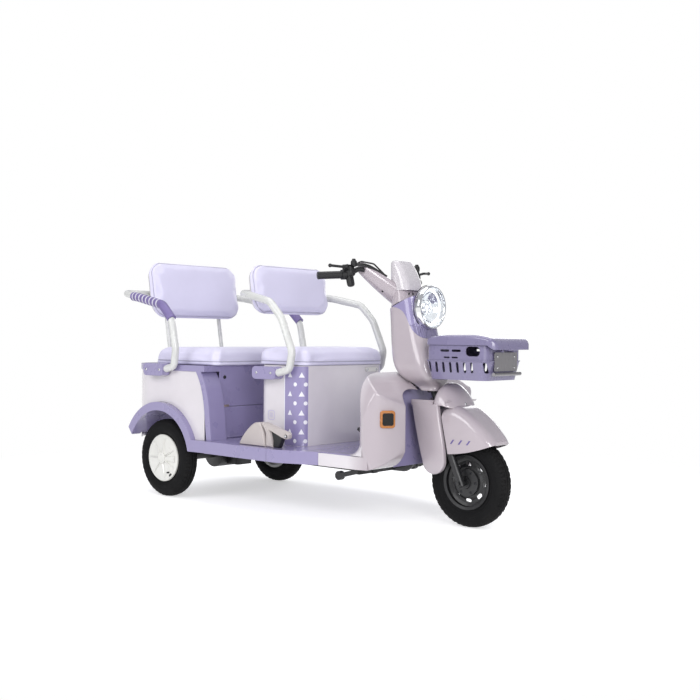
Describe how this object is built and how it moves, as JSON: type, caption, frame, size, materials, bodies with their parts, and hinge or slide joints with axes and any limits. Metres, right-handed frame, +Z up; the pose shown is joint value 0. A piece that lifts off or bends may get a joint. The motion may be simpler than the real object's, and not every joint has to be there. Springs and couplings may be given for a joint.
{
  "type": "electric tricycle",
  "caption": "Electric leisure tricycle with a driver's seat, a rear bench with storage under it, tubular armrest rails, a round headlight and a lidded front basket.",
  "frame": {"origin": "on the ground in the middle of the overall length and width", "axes": "+X straight ahead, +Y to the rider's left, +Z up"},
  "size_m": [2.044, 0.892, 1.1326],
  "materials": {
    "pale": "gloss",
    "purple": "gloss",
    "lavender_vinyl": "satin",
    "white_tube": "gloss",
    "grip_purple": "satin",
    "black_steel": "satin",
    "black_plastic": "matte",
    "beige_plastic": "satin",
    "tyre": "matte",
    "white_plastic": "gloss",
    "chrome": "polished",
    "lens": "clear",
    "amber": "gloss",
    "red_lamp": "gloss",
    "battery": "matte",
    "plate": "satin",
    "cable": "matte"
  },
  "bodies": {
    "chassis": {"chassis_frame": "black_steel", "rear_axle": "black_steel", "rear_deck": "purple", "footboard": "purple", "rear_body": "pale", "rear_fenders": "purple", "rear_seat_front": "purple", "tail_lights": "red_lamp", "backrest_pads": "lavender_vinyl", "backrest_shells": "pale", "armrest_rails": "white_tube", "rail_mounts": "purple", "rear_rail_grips": "grip_purple", "driver_seat_box": "pale", "battery_pack": "battery", "parking_brake": "beige_plastic", "brake_pedal": "black_plastic", "leg_shields": "pale", "column_cover": "pale", "headlight_panel": "purple", "wheel_well_panel": "purple", "headlight_bucket": "chrome", "headlight_lens": "lens", "reflectors": "amber", "basket": "purple", "number_plate": "plate"},
    "steering": {"fork": "black_steel", "fork_covers": "pale", "front_fender": "pale", "handlebar": "black_steel", "handlebar_cover": "pale", "instrument_hood": "pale", "handlebar_grips": "black_plastic", "hand_controls": "black_plastic", "brake_cables": "cable"},
    "front_wheel": {"front_tyre": "tyre", "front_wheel": "black_steel"},
    "rear_wheel_left": {"rear_tyre_left": "tyre", "rear_wheel_left": "white_plastic"},
    "rear_wheel_right": {"rear_tyre_right": "tyre", "rear_wheel_right": "white_plastic"},
    "rear_seat": {"rear_seat_cushion": "lavender_vinyl"},
    "driver_seat": {"driver_seat_cushion": "lavender_vinyl"},
    "storage_door": {"storage_door": "purple"},
    "basket_lid": {"basket_lid": "purple"}
  },
  "joints": [
    {"name": "steering_turn", "type": "hinge", "parent": "chassis", "child": "steering", "pos_m": [0.79833, 0, 0.17252], "axis": [-0.4067, 0, 0.9135], "range_deg": [-35, 35]},
    {"name": "front_wheel_spin", "type": "hinge", "parent": "steering", "child": "front_wheel", "pos_m": [0.823, 0, 0.1835], "axis": [0, 1, 0], "continuous": true},
    {"name": "rear_wheel_left_spin", "type": "hinge", "parent": "chassis", "child": "rear_wheel_left", "pos_m": [-0.668, 0.362, 0.1835], "axis": [0, 1, 0], "continuous": true},
    {"name": "rear_wheel_right_spin", "type": "hinge", "parent": "chassis", "child": "rear_wheel_right", "pos_m": [-0.668, -0.362, 0.1835], "axis": [0, 1, 0], "continuous": true},
    {"name": "rear_seat_hinge", "type": "hinge", "parent": "chassis", "child": "rear_seat", "pos_m": [-0.8055, 0, 0.632], "axis": [0, -1, 0], "range_deg": [0, 70]},
    {"name": "driver_seat_hinge", "type": "hinge", "parent": "chassis", "child": "driver_seat", "pos_m": [0.138, 0, 0.636], "axis": [0, 1, 0], "range_deg": [0, 60]},
    {"name": "storage_door_hinge", "type": "hinge", "parent": "chassis", "child": "storage_door", "pos_m": [-0.368, 0, 0.2943], "axis": [0, 1, 0], "range_deg": [0, 80]},
    {"name": "basket_lid_hinge", "type": "hinge", "parent": "chassis", "child": "basket_lid", "pos_m": [0.992, 0, 0.722], "axis": [0, 1, 0], "range_deg": [0, 75]}
  ]
}
